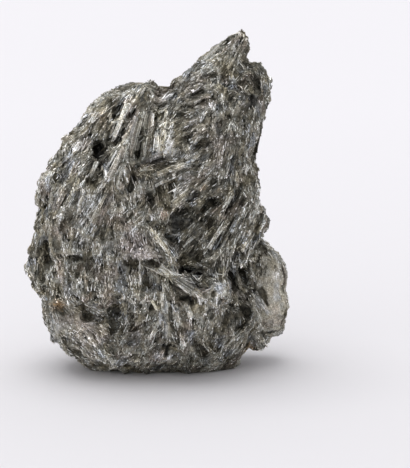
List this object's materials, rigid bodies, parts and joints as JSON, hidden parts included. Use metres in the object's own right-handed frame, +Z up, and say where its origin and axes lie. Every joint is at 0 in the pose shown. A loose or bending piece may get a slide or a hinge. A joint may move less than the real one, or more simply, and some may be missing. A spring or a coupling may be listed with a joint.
{
  "type": "stibnite crystal spray",
  "caption": "Compact hand specimen of lead-grey stibnite: long blades grown together in one faceted mass with a peak, a dome and a pale rear lobe.",
  "frame": {"origin": "centre of the specimen's bounding box in plan, on the surface that it rests on", "axes": "+Z up, broad face towards -Y, peak towards +X"},
  "size_m": [0.0888, 0.0622, 0.115],
  "materials": {
    "stibnite": "satin"
  },
  "bodies": {
    "root": {"stibnite_mass": "stibnite"}
  },
  "joints": []
}
